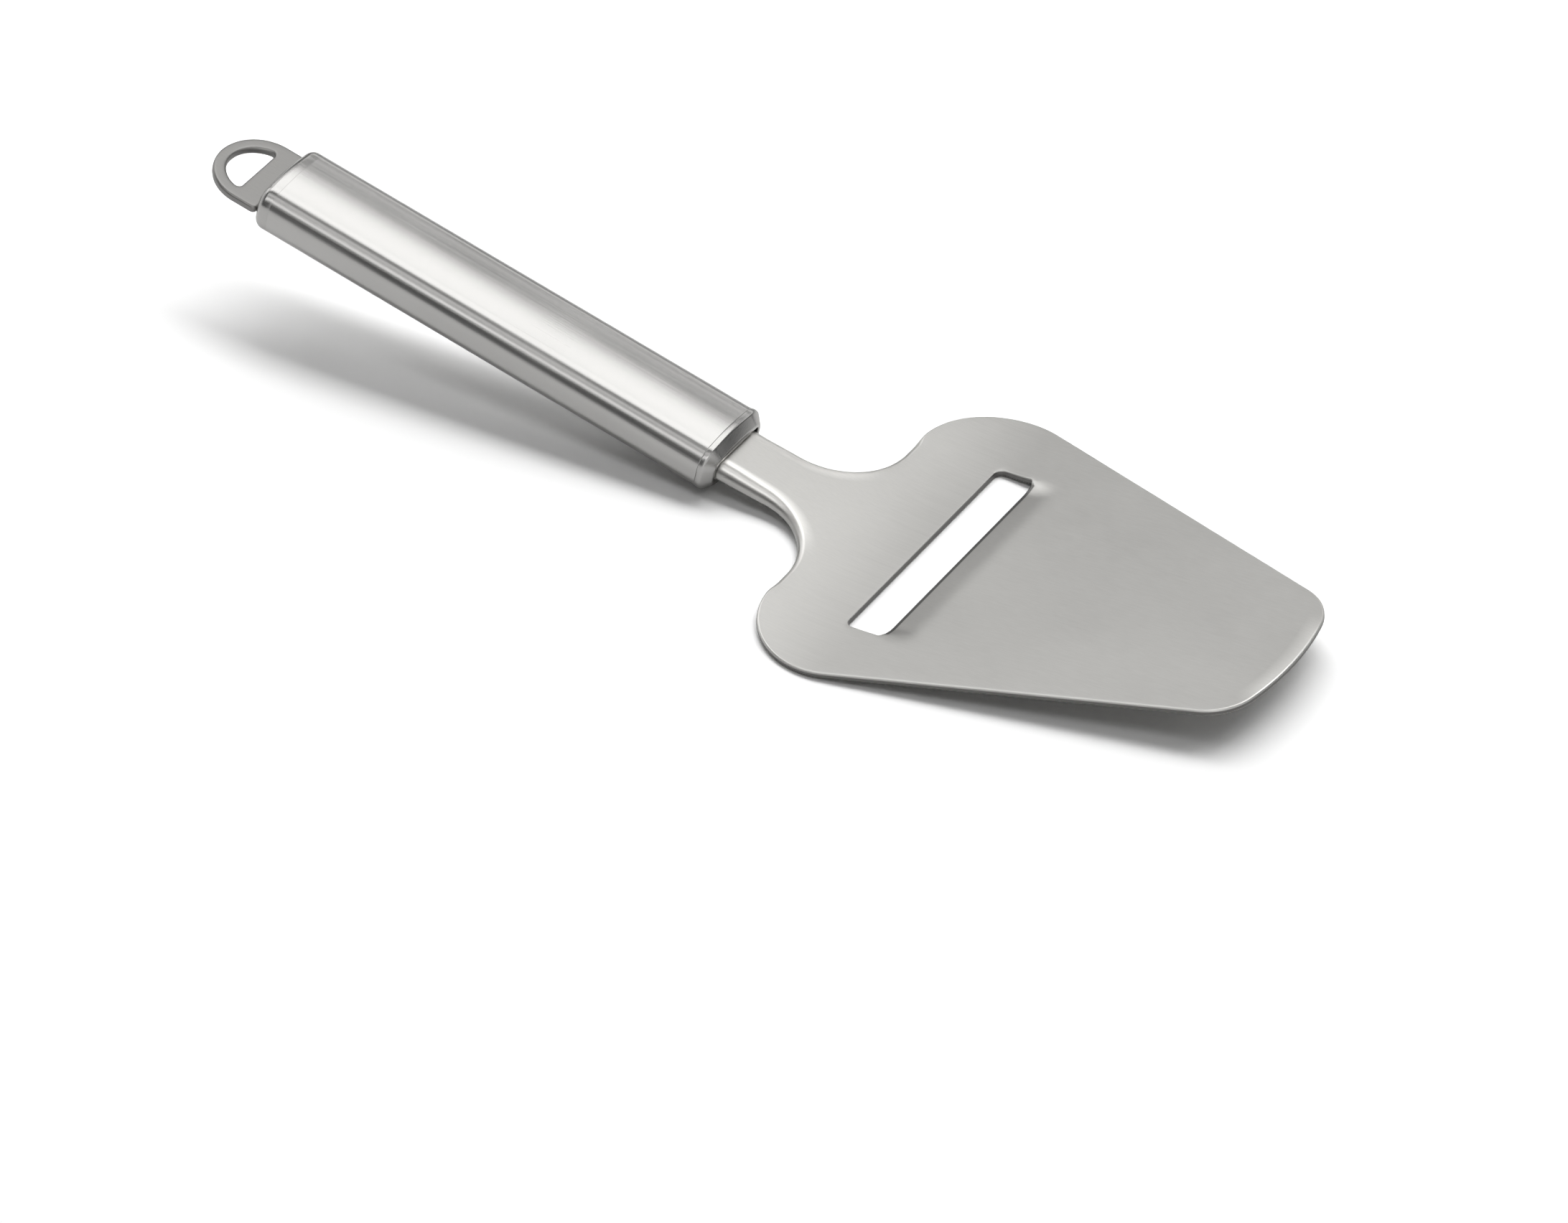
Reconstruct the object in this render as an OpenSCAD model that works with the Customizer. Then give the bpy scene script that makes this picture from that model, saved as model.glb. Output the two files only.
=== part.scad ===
// Cheese slicer: a one-piece stamped steel blade with a raised slot, held in a hollow
// steel handle that ends in a flat hanging loop.
// +X runs to the blade tip, +Y to the left side, +Z up. The slicer lies as it rests:
// on the lower front edge of the handle and on the cutting lip.

/* [Overall] */
// slope of the handle, falling toward the blade, degrees
handle_tilt = 11.6; // [10:0.2:14]
// slope of the blade, rising toward its tip, degrees
blade_tilt = 5.6; // [4:0.2:6.4]

/* [Blade] */
// full width across the shoulders
blade_w = 80; // [76:1:84]
// distance from the handle face to the blade tip
blade_reach = 113.3; // [108:0.5:118]
// sheet thickness of the blade
sheet_t = 1.2; // [1:0.1:1.4]
// narrowing of each side toward the tip, degrees
side_taper = 17.6; // [16:0.2:19]
// radius of the two shoulders
shoulder_r = 15; // [13:0.5:17]
// distance from the handle face to the rear edge of the shoulders
shoulder_x = 22.6; // [21.8:0.2:23.8]
// radius of the two corners at the tip
tip_corner_r = 10; // [7:0.5:12]
// radius of the curved front edge
tip_r = 55; // [50:1:70]

/* [Neck] */
// width across the neck
neck_w = 13.4; // [12.6:0.2:14]
// radius of the hollow between neck and shoulder
neck_fillet_r = 13; // [12:0.25:14]
// height of the neck's top face over the handle's middle
neck_rise = 2; // [1.6:0.1:2.4]
// radius of the long bend between neck and blade
bend_r = 72; // [60:1:80]
// depth of the turned-down neck edges at the handle
flange_d = 3.2; // [3:0.1:3.6]

/* [Slot] */
// distance from the handle face to the back edge of the slot
slot_x = 38.3; // [37:0.1:40]
// width of the slot
slot_gap = 7.3; // [6:0.1:8]
// length of the slot across the blade
slot_len = 51; // [46:0.5:54]
// radius of the two back corners of the slot
slot_corner_r = 1.5; // [1:0.1:2.5]
// drop of the cutting lip under the blade's face
lip_drop = 0.8; // [0.5:0.1:1.2]
// length of the pressed-down lip
lip_len = 7.5; // [6:0.5:9]
// length of the ground bevel
bevel_len = 1.6; // [1.2:0.1:2.4]
// land left at the cutting edge
edge_land = 0.2; // [0.15:0.05:0.4]

/* [Handle] */
// length of the handle with both end caps
handle_len = 100; // [90:1:110]
// width of the handle
handle_w = 18.4; // [17:0.2:20]
// height of the handle at its sides
handle_h = 9.5; // [9:0.1:10.4]
// extra height of the crowned top and bottom
crown = 0.5; // [0.3:0.1:0.8]
// radius of the long edges
handle_r = 3.6; // [3:0.1:4.2]
// wall thickness of the tube
wall = 0.8; // [0.6:0.1:1.2]
// visible length of the front cap
front_cap_len = 4.4; // [4:0.2:6]
// rounding of the front cap's rim
front_rim_r = 2; // [1.4:0.1:2.4]
// visible length of the rear cap
rear_cap_len = 3; // [2.6:0.2:4]
// rounding of the rear cap's rim
rear_rim_r = 1.8; // [1.2:0.1:2.2]
// step of the caps over the tube
cap_step = 0.15; // [0.1:0.05:0.3]

/* [Hanging loop] */
// length of the loop behind the handle
loop_len = 13.6; // [12.6:0.2:15]
// outer radius of the loop
loop_r = 8.6; // [8:0.1:9.2]
// thickness of the loop's sheet
loop_t = 1.6; // [1.4:0.1:2.2]
// drop of the loop under the handle's middle
loop_drop = 0.4; // [0:0.1:1.2]
// width of the loop's band
loop_band = 2.6; // [2.4:0.1:3.2]

/* [Fits] */
// clearance between a cap spigot and the tube
spigot_gap = 0.1; // [0.05:0.05:0.2]
// clearance around a sheet where it leaves a cap
window_gap = 0.15; // [0.1:0.05:0.25]
// clearance between a tang and its plug
tang_gap = 0.05; // [0.03:0.01:0.1]

/* [Hidden] */
$fn = 96;

steel = [0.74, 0.74, 0.73];
steel_dark = [0.62, 0.62, 0.62];
plastic = [0.2, 0.2, 0.21];

// overlap of shapes that join, overshoot of cuts and reach of clipping shapes
merge = 0.4;
over = 1;
far_out = 200;

// hidden lengths inside the handle
spigot_len = 6;
tang_len = 28;
tang_w = 10;
loop_tang_len = 24;
loop_tang_w = 11;
plug_end = 2;
bar_shift = 0.4;
seat_gap = 0.1;
fold_step = 0.03;
bend_steps = 16;

// the turned-down edge grows shallower from the handle to the shoulder
flange_mid_share = 0.8;
flange_late_share = 0.6;
flange_end_depth = 1.6 * sheet_t;

// handle frame: direction back along the handle and its upward direction
back = [-cos(handle_tilt), sin(handle_tilt)];
up = [sin(handle_tilt), cos(handle_tilt)];
half_w = blade_w / 2;
cap_half = handle_h / 2 + crown + cap_step;
axis_z = front_rim_r + (cap_half - front_rim_r) * cos(handle_tilt) - front_rim_r * sin(handle_tilt);
axis_0 = [0, axis_z];

// blade frame, seen from the side
blade_dir = [cos(blade_tilt), sin(blade_tilt)];
blade_up = [-sin(blade_tilt), cos(blade_tilt)];
lip_x = slot_x + slot_gap;
fold_x = lip_x + lip_len;
plate_0 = [lip_x, lip_drop + sheet_t];
function plate_z(x) = plate_0[1] + (x - plate_0[0]) * tan(blade_tilt);

// where the neck line meets the blade line, and the bend between them
neck_0 = axis_0 + neck_rise * up;
neck_fall = tan(handle_tilt);
bend_x = (neck_0[1] + neck_0[0] * neck_fall - plate_z(0)) / (neck_fall + tan(blade_tilt));
bend_p = [bend_x, plate_z(bend_x)];
bend_half = bend_r * tan((handle_tilt + blade_tilt) / 2);
bend_1 = bend_p + bend_half * back;
bend_2 = bend_p + bend_half * blade_dir;
bend_c = bend_1 + bend_r * up;
function neck_top(x) = neck_0[1] - (x - neck_0[0]) * neck_fall;

// plan of the blade
shoulder_c = [shoulder_x + shoulder_r, half_w - shoulder_r];
side_n = [sin(side_taper), cos(side_taper)];
side_m = [cos(side_taper), -sin(side_taper)];
tip_c = [blade_reach - tip_r, 0];
line_d = shoulder_c * side_n + shoulder_r - tip_corner_r - tip_c * side_n;
corner_c = tip_c + line_d * side_n + sqrt(pow(tip_r - tip_corner_r, 2) - pow(line_d, 2)) * side_m;
corner_u = (corner_c - tip_c) / norm(corner_c - tip_c);
fillet_c = [shoulder_x - neck_fillet_r, neck_w / 2 + neck_fillet_r];

// loop lengths along the handle
loop_c = handle_len + loop_len - loop_r;
hole_r = loop_r - loop_band;
bar_x = loop_c + bar_shift;
front_spigot_end = front_cap_len + spigot_len;
rear_spigot_end = handle_len - rear_cap_len - spigot_len;

// the whole slicer is centred over its footprint
tail_x = (handle_len + loop_len) * back[0] - (loop_drop + loop_t / 2) * up[0];
shift = [-(blade_reach + tail_x) / 2, 0, 0];

// stands a side view, drawn in X and Z, across the slicer
module across(w)
  rotate([90, 0, 0])
    linear_extrude(w, center = true)
      children();

// lays the handle frame into place: X back along the handle, Z its upward direction
module on_handle()
  translate([0, 0, axis_z])
    rotate([0, handle_tilt, 0])
      mirror([1, 0, 0])
        children();

// carries a section, drawn in Y and Z of the handle frame, from one length to another
module along(from, to)
  translate([from, 0, 0])
    rotate([90, 0, 90])
      linear_extrude(to - from)
        children();

module mirrored() {
  children();
  mirror([0, 1, 0])
    children();
}

// handle section grown outward by g
module section(g) {
  w = handle_w / 2 + g;
  h = handle_h / 2 + g;
  r = handle_r + g;
  flat = w - r;
  dome_r = (flat * flat + crown * crown) / (2 * crown);
  for (sy = [-1, 1])
    for (sz = [-1, 1])
      translate([sy * (w - r), sz * (h - r)])
        circle(r);
  square([2 * w, 2 * (h - r)], center = true);
  square([2 * (w - r), 2 * h], center = true);
  for (sz = [-1, 1])
    intersection() {
      translate([0, sz * (h + crown - dome_r)])
        circle(dome_r, $fn = 360);
      translate([0, sz * h / 2])
        square([2 * flat, 2 * h], center = true);
    }
}

// line of the sheet seen from the side, g under its top face: neck, long bend, blade
function sheet_line(g) = [
  neck_0 + tang_len * back - g * up,
  for (i = [0:bend_steps])
    let (a = -90 - handle_tilt + i / bend_steps * (handle_tilt + blade_tilt))
      bend_c + (bend_r + g) * [cos(a), sin(a)],
  bend_2 + far_out * blade_dir - g * blade_up
];

// blade and neck seen from the side
module blade_side() {
  top = sheet_line(0);
  low = sheet_line(sheet_t);
  last = len(low) - 1;
  polygon([each top, for (i = [0:last]) low[last - i]]);
}

// open space beside the neck seen from above, grown by g
module hollow(g) {
  r = neck_fillet_r + g;
  translate(fillet_c)
    circle(r);
  translate(fillet_c - [far_out, r])
    square([far_out, far_out]);
  translate(fillet_c - [far_out, 0])
    square([far_out + r, far_out]);
}

// what lies outside a corner's circle, between the directions n1 and n2
module outside(c, r, n1, n2)
  difference() {
    polygon([c, c + r * n1, c + r * n1 + 3 * r * (n1 + n2), c + r * n2]);
    translate(c)
      circle(r);
  }

// half of the blade seen from above
module half_plan() {
  side_p = shoulder_c + shoulder_r * side_n;
  intersection() {
    union() {
      translate(tip_c)
        circle(tip_r, $fn = 360);
      translate([0, -far_out])
        square([tip_c[0], 2 * far_out]);
    }
    difference() {
      polygon([
        [shoulder_x, -merge],
        side_p - (side_p[0] - shoulder_x) / side_m[0] * side_m,
        side_p + far_out * side_m,
        [far_out, -far_out],
        [far_out, -merge]
      ]);
      outside(shoulder_c, shoulder_r, [-1, 0], side_n);
      outside(corner_c, tip_corner_r, side_n, corner_u);
      translate([0, -far_out - merge])
        square([2 * far_out, far_out]);
    }
  }
  difference() {
    translate([0, -merge])
      square([shoulder_x + merge, shoulder_c[1] + merge]);
    hollow(0);
  }
}

// half of the turned-down edge seen from above
module half_flange_plan()
  intersection() {
    translate([-front_rim_r, 0])
      square([front_rim_r + shoulder_x + sheet_t, shoulder_c[1]]);
    difference() {
      hollow(sheet_t);
      hollow(0);
    }
  }

// turned-down edge seen from the side: deep at the handle, shallow at the shoulder
module flange_side() {
  start = -front_rim_r;
  mid = fillet_c[0];
  late = mid + neck_fillet_r / 2;
  end = shoulder_x + sheet_t;
  half_t = sheet_t / 2;
  polygon([
    [start, neck_top(start) - half_t],
    [end, neck_top(end) - half_t],
    [end, neck_top(end) - flange_end_depth],
    [late, neck_top(late) - flange_d * flange_late_share],
    [mid, neck_top(mid) - flange_d * flange_mid_share],
    [start, neck_top(start) - flange_d]
  ]);
}

module slot_plan() {
  half = slot_len / 2;
  for (s = [-1, 1])
    translate([slot_x + slot_corner_r, s * (half - slot_corner_r)])
      circle(slot_corner_r);
  translate([slot_x, -half + slot_corner_r])
    square([slot_gap, slot_len - 2 * slot_corner_r]);
  translate([slot_x + slot_corner_r, -half])
    square([fold_x - slot_x - slot_corner_r, slot_len]);
}

// pressed-down cutting lip seen from the side, ground to an edge at its underside
module lip_side()
  polygon([
    [fold_x + merge, plate_z(fold_x + merge) - merge / 2],
    [fold_x, plate_z(fold_x) - fold_step],
    [lip_x + bevel_len, plate_z(lip_x + bevel_len) - lip_drop],
    [lip_x, edge_land],
    [lip_x, 0],
    [lip_x + bevel_len, plate_z(lip_x + bevel_len) - lip_drop - sheet_t],
    [fold_x, plate_z(fold_x) - sheet_t + fold_step],
    [fold_x + merge, plate_z(fold_x + merge) - sheet_t / 2]
  ]);

module slicing_blade()
  color(steel)
    translate(shift) {
      difference() {
        intersection() {
          across(2 * blade_w)
            blade_side();
          union() {
            linear_extrude(far_out, center = true)
              mirrored()
                half_plan();
            translate([-tang_len, -tang_w / 2, -far_out / 2])
              cube([tang_len + over, tang_w, far_out]);
          }
        }
        linear_extrude(far_out, center = true)
          slot_plan();
      }
      across(slot_len + 2 * merge)
        lip_side();
      intersection() {
        across(2 * blade_w)
          flange_side();
        linear_extrude(far_out, center = true)
          mirrored()
            half_flange_plan();
      }
    }

// plan of a cap whose rim is rounded at its outer end, half as wide as given
module rim_plan(len, rim, half) {
  translate([rim, -half])
    square([len - rim, 2 * half]);
  translate([0, rim - half])
    square([len, 2 * (half - rim)]);
  for (s = [-1, 1])
    translate([rim, s * (half - rim)])
      circle(rim);
}

// both caps: a rounded rim, a spigot inside the tube and a window for a sheet
module cap(len, rim, win_w, win_low, win_high)
  difference() {
    union() {
      intersection() {
        along(0, len)
          section(cap_step);
        rotate([90, 0, 0])
          linear_extrude(2 * handle_w, center = true)
            rim_plan(len, rim, cap_half);
        linear_extrude(2 * handle_w, center = true)
          rim_plan(len, rim, handle_w / 2 + cap_step);
      }
      along(len - over, len + spigot_len)
        section(-wall - spigot_gap);
    }
    along(-over, len + spigot_len + over)
      translate([-win_w / 2, win_low])
        square([win_w, win_high - win_low]);
  }

// block that fills the tube and grips a tang in a pocket
module plug(from, to, pocket_from, pocket_to, pocket_w, pocket_z, pocket_h)
  difference() {
    along(from, to)
      section(-wall - spigot_gap);
    along(pocket_from, pocket_to)
      translate([-pocket_w / 2, pocket_z - pocket_h / 2])
        square([pocket_w, pocket_h]);
  }

module handle_tube()
  color(steel)
    translate(shift)
      on_handle()
        difference() {
          along(front_cap_len, handle_len - rear_cap_len)
            section(0);
          along(front_cap_len - over, handle_len - rear_cap_len + over)
            section(-wall);
        }

module front_cap()
  color(steel_dark)
    translate(shift)
      on_handle()
        cap(
          front_cap_len,
          front_rim_r,
          neck_w + 2 * window_gap,
          neck_rise - flange_d - window_gap,
          neck_rise + window_gap
        );

module rear_cap()
  color(steel_dark)
    translate(shift)
      on_handle()
        translate([handle_len, 0, 0])
          mirror([1, 0, 0])
            cap(
              rear_cap_len,
              rear_rim_r,
              loop_tang_w + 2 * window_gap,
              -loop_drop - loop_t / 2 - window_gap,
              -loop_drop + loop_t / 2 + window_gap
            );

module front_tang_plug()
  color(plastic)
    translate(shift)
      on_handle()
        plug(
          front_spigot_end + spigot_gap,
          tang_len + plug_end,
          front_spigot_end - over,
          tang_len + tang_gap,
          tang_w + 2 * tang_gap,
          neck_rise - sheet_t / 2,
          sheet_t + 2 * tang_gap
        );

module rear_tang_plug()
  color(plastic)
    translate(shift)
      on_handle()
        plug(
          handle_len - loop_tang_len - plug_end,
          rear_spigot_end - spigot_gap,
          handle_len - loop_tang_len - tang_gap,
          rear_spigot_end + over,
          loop_tang_w + 2 * tang_gap,
          -loop_drop,
          loop_t + 2 * tang_gap
        );

module hanging_loop()
  color(steel)
    translate(shift)
      on_handle()
        translate([0, 0, -loop_drop])
          linear_extrude(loop_t, center = true)
            difference() {
              union() {
                intersection() {
                  translate([loop_c, 0])
                    circle(loop_r);
                  translate([handle_len + seat_gap, -loop_r])
                    square([2 * loop_r, 2 * loop_r]);
                }
                translate([handle_len + seat_gap, -loop_r])
                  square([loop_c - handle_len - seat_gap, 2 * loop_r]);
                translate([handle_len - loop_tang_len, -loop_tang_w / 2])
                  square([loop_tang_len + over, loop_tang_w]);
              }
              intersection() {
                translate([loop_c, 0])
                  circle(hole_r);
                translate([bar_x, -loop_r])
                  square([loop_r, 2 * loop_r]);
              }
            }

slicing_blade();
handle_tube();
front_cap();
rear_cap();
front_tang_plug();
rear_tang_plug();
hanging_loop();
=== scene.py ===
"""A steel cheese slicer, modelled over its CAD frame and set in a pale studio."""

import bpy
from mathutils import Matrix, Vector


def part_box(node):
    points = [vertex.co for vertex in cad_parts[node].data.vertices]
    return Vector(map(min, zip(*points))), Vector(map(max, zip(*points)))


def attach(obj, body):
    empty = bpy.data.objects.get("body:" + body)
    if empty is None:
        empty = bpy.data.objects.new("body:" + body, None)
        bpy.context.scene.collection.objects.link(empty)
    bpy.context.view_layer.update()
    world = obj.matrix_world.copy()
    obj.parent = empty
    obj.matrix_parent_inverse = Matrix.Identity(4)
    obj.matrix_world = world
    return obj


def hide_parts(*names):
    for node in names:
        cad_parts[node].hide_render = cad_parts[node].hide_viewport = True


bl_info = {
    "name": "Cheese Slicer",
    "version": (1, 0, 0),
    "blender": (4, 5, 0),
    "location": "View3D > Sidebar > Slicer",
    "description": "Models a steel cheese slicer over its CAD frame, with a pale studio around it",
    "category": "Add Mesh",
}

from math import atan2, cos, pi, radians, sin, sqrt, tan

import bmesh
import bpy
from bpy.props import FloatProperty, FloatVectorProperty, PointerProperty
from mathutils import Matrix, Vector
from mathutils.geometry import delaunay_2d_cdt
from mathutils.kdtree import KDTree

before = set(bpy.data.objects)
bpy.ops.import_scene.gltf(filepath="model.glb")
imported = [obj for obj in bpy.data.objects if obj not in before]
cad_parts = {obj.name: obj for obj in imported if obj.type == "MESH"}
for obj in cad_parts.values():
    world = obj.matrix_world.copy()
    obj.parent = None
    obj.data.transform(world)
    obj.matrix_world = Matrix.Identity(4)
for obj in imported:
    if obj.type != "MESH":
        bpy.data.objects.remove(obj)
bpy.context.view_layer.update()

MM = 0.001


# Values


def linear(code):
    """An sRGB hex colour as linear red, green and blue."""
    parts = [int(code[i : i + 2], 16) / 255 for i in (1, 3, 5)]
    return tuple(c / 12.92 if c <= 0.04045 else ((c + 0.055) / 1.055) ** 2.4 for c in parts)


def length(name, description, default):
    """A length property whose default is given in millimetres."""
    return FloatProperty(
        name=name, description=description, default=default * MM, min=0, unit="LENGTH", precision=5
    )


def angle(name, description, default):
    """An angle property whose default is given in degrees."""
    return FloatProperty(
        name=name, description=description, default=radians(default), unit="ROTATION"
    )


def colour(name, description, code):
    """A colour property whose default is an sRGB hex colour."""
    return FloatVectorProperty(
        name=name, description=description, default=linear(code), min=0, max=1, subtype="COLOR"
    )


class SlicerBladeSizes(bpy.types.PropertyGroup):
    """Sizes of the blade, measured from the front face of the handle"""

    tilt: angle("Blade tilt", "Slope of the blade, rising toward its tip", 5.6)
    reach: length("Reach", "Handle face to blade tip", 113.3)
    width: length("Width", "Full width across the shoulders", 80)
    sheet: length("Sheet", "Thickness of the sheet", 1.2)
    taper: angle("Side taper", "Narrowing of each side toward the tip", 17.6)
    shoulder_r: length("Shoulder radius", "Radius of the two shoulders", 15)
    shoulder_x: length("Shoulder place", "Handle face to the rear edge of the shoulders", 22.6)
    corner_r: length("Tip corner radius", "Radius of the two corners at the tip", 10)
    tip_r: length("Tip radius", "Radius of the curved front edge", 55)
    neck_w: length("Neck width", "Width across the neck", 13.4)
    hollow_r: length("Hollow radius", "Radius of the hollow between neck and shoulder", 13)
    neck_rise: length("Neck rise", "Neck's top face over the middle of the handle", 2)
    bend_r: length("Long bend radius", "Radius of the bend between neck and blade", 72)
    flange: length("Turned edge", "Depth of the turned-down neck edge at the handle", 3.2)
    flange_r: length("Turned edge radius", "Outer radius where the edge turns down", 2.5)
    edge_r: length("Edge rounding", "Rounding that tumbling leaves on the sheet's edges", 0.4)
    slot_x: length("Slot place", "Handle face to the back edge of the slot", 38.3)
    slot_gap: length("Slot gap", "Width of the slot", 7.3)
    slot_len: length("Slot length", "Length of the slot across the blade", 51)
    slot_r: length("Slot corner radius", "Radius of the slot's corners", 1.5)
    lip_drop: length("Lip drop", "Drop of the cutting lip under the blade's face", 0.8)
    dish: length("Dish length", "How far the blade slopes down to the cutting lip", 6.6)
    lip_end: length("Lip end", "How far the lip rises again at each end of the slot", 3.6)
    lip_reach: length("Lip reach", "How far the ground edge reaches into the slot", 0.25)
    bevel: length("Bevel", "Length of the ground facets on the lip", 1.25)
    land: length("Land", "Thickness left at the cutting edge", 0.2)
    tang_len: length("Tang length", "Length of the tang inside the handle", 28)
    tang_w: length("Tang width", "Width of the tang inside the handle", 10)
    pitch: length("Mesh pitch", "Spacing of the points on the faces of the sheet", 1.4)


class SlicerHandleSizes(bpy.types.PropertyGroup):
    """Sizes of the handle, its two caps and the hanging loop"""

    tilt: angle("Handle tilt", "Slope of the handle, falling toward the blade", 11.6)
    length: length("Length", "Handle with both caps", 100)
    width: length("Width", "Width of the handle", 18.4)
    height: length("Height", "Height of the handle at its sides", 9.5)
    crown: length("Crown", "Extra height of the domed top and bottom", 0.5)
    round_r: length("Long edge radius", "Radius of the four long edges", 3.6)
    wall: length("Wall", "Wall of the tube", 0.8)
    front_len: length("Front cap", "Handle face to the seam of the front cap", 3.3)
    front_rim: length("Front rim", "Depth of the front cap's rim", 2)
    rear_len: length("Rear cap", "Visible length of the rear cap", 3)
    rear_rim: length("Rear rim", "Rounding of the rear cap's rim", 1.8)
    step: length("Cap step", "How far the front cap stands proud of the tube", 0.15)
    spigot: length("Spigot", "Length of a cap's spigot inside the tube", 6)
    spigot_gap: length("Spigot gap", "Clearance between spigot and tube", 0.1)
    window_gap: length("Window gap", "Clearance around a sheet where it leaves a cap", 0.15)
    loop_len: length("Loop length", "Loop behind the handle", 13.6)
    loop_r: length("Loop radius", "Outer radius of the loop", 8.6)
    loop_t: length("Loop sheet", "Thickness of the loop's sheet", 1.6)
    loop_drop: length("Loop drop", "Loop under the middle of the handle", 0.4)
    loop_band: length("Loop band", "Width of the loop's band at its sides", 2.7)
    loop_end_band: length("Loop end band", "Width of the loop's band at its end", 2.3)
    loop_tang_len: length("Loop tang length", "Loop's tang inside the handle", 24)
    loop_tang_w: length("Loop tang width", "Width of the loop's tang", 11)
    bar_shift: length("Bar place", "Loop's centre to the straight edge of its hole", 0.4)
    seat: length("Seat", "Gap between the loop and the rear cap", 0.1)


class SlicerFinishes(bpy.types.PropertyGroup):
    """Colours of the steel and plastic, and of the floor"""

    blade: colour("Blade", "Satin rolled stainless sheet", "#C3C2BF")
    handle: colour("Handle", "Lengthwise brushed stainless tube", "#C5C4C2")
    cap: colour("Caps", "Brushed stainless caps", "#C0BFBD")
    loop: colour("Loop", "Tumbled stainless loop", "#979694")
    plug: colour("Plugs", "Moulded black plastic", "#2B2B2D")
    floor: colour("Floor", "Matt white table top", "#FAFAFA")


# Outlines


def arc(centre, r, start, end, count):
    """Points on an arc from one angle to another, in radians, both ends included."""
    return [
        (centre[0] + r * cos(start + (end - start) * i / count),
         centre[1] + r * sin(start + (end - start) * i / count))
        for i in range(count + 1)
    ]


def run(a, b, count):
    """Points inside a straight run from a to b, without its ends."""
    return [
        (a[0] + (b[0] - a[0]) * i / count, a[1] + (b[1] - a[1]) * i / count)
        for i in range(1, count)
    ]


def both_sides(half):
    """A closed outline from one half of it, whose ends lie on the middle line."""
    return half + [(x, -y) for x, y in reversed(half) if abs(y) > 1e-7]


def smooth(low, high, value):
    """0 under low, 1 over high and an even S between them."""
    u = min(max((value - low) / (high - low), 0), 1)
    return u * u * (3 - 2 * u)


def inward(points):
    """Unit normals of a closed outline, toward its inside."""
    count = len(points)
    area = sum(
        points[i - 1][0] * points[i][1] - points[i][0] * points[i - 1][1] for i in range(count)
    )
    turn = 1 if area > 0 else -1
    normals = []
    for i in range(count):
        before, here, after = points[i - 1], points[i], points[(i + 1) % count]
        first = Vector((here[0] - before[0], here[1] - before[1])).normalized()
        second = Vector((after[0] - here[0], after[1] - here[1])).normalized()
        along = (first + second).normalized()
        normals.append(Vector((-along.y, along.x)) * turn)
    return normals


def inside(point, outline):
    """True if a point lies inside a closed outline."""
    x, y = point
    found = False
    for i in range(len(outline)):
        (x0, y0), (x1, y1) = outline[i - 1], outline[i]
        if (y0 > y) != (y1 > y) and x < (x1 - x0) * (y - y0) / (y1 - y0) + x0:
            found = not found
    return found


# Edge profiles

# A profile is a list of (inset from the outline, depth under the top face), one for each ring
# of the edge. All profiles have the same count of rings, so that one can turn into another.
# Rings are counted from the top face: its rounding, the lip's facets, and the upright wall,
# which is the land of a cutting edge.
ROUNDING_RINGS = (2, 3, 4)
FACET_RINGS = (2, 3, 4, 5, 6)
WALL_RINGS = (7, 8)


def quarter_turn(count):
    """The angles of a quarter turn in even steps, without its start."""
    return [pi / 2 / count * i for i in range(1, count + 1)]


def underside(start, reach, t):
    """Even steps along the underside, from start in to reach."""
    return [(start + (reach - start) * i / 7, t) for i in range(1, 8)]


def plain_edge(t, r, reach):
    """A sheet edge with both corners tumbled round."""
    points = [(reach, 0), (r, 0)]
    points += [(r - r * sin(turn), r - r * cos(turn)) for turn in quarter_turn(6)]
    points.append((0, t - r))
    points += [(r - r * cos(turn), t - r + r * sin(turn)) for turn in quarter_turn(3)]
    return points + underside(r, reach, t)


def turned_edge(t, r, bend, depth, reach):
    """A sheet edge that turns down to a flange."""
    core = max(bend - t, 0.1 * MM)
    points = [(reach, 0), (bend, 0)]
    points += [(bend - bend * sin(turn), bend - bend * cos(turn)) for turn in quarter_turn(6)]
    points.append((0, depth - r))
    points += [(r - r * cos(turn), depth - r + r * sin(turn)) for turn in quarter_turn(3)]
    points += [(t - r, depth), (t - 0.3 * r, depth - 0.3 * r), (t, depth - r)]
    points += [(t, bend), (bend - core * 0.7, bend - core * 0.7), (bend, t)]
    points.append((reach, t))
    return points


def ground_edge(t, land, bevel, reach):
    """A cutting edge: a shallow ground facet, then a steep one down to a thin land."""
    front, drop = 0.4 * bevel, 0.03 * bevel
    points = [(reach, 0), (bevel, 0)]
    points += [(bevel + (front - bevel) * i / 4, drop * i / 4) for i in range(1, 5)]
    points += [(front / 2, (drop + t - land) / 2), (0, t - land), (0, t - 0.7 * land)]
    points += [(0, t - 0.3 * land), (0.3 * land, t), (land, t)]
    return points + underside(land, reach, t)


def mixed(a, b, share):
    """A profile between a, share 0, and b, share 1."""
    return [
        (p[0] + (q[0] - p[0]) * share, p[1] + (q[1] - p[1]) * share) for p, q in zip(a, b)
    ]


def value_at(marks, x):
    """The height at x of a line through marks of (x, height), level past both its ends."""
    for (x0, low), (x1, high) in zip(marks, marks[1:]):
        if x <= x1:
            return low + (high - low) * max(x - x0, 0) / (x1 - x0)
    return marks[-1][1]


# Meshes


def skin(bm, rings, closed=False):
    """Faces between rings of the same count of points."""
    pairs = list(zip(rings, rings[1:]))
    if closed:
        pairs.append((rings[-1], rings[0]))
    for low, high in pairs:
        for i in range(len(low)):
            bm.faces.new((low[i - 1], low[i], high[i], high[i - 1]))


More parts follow.
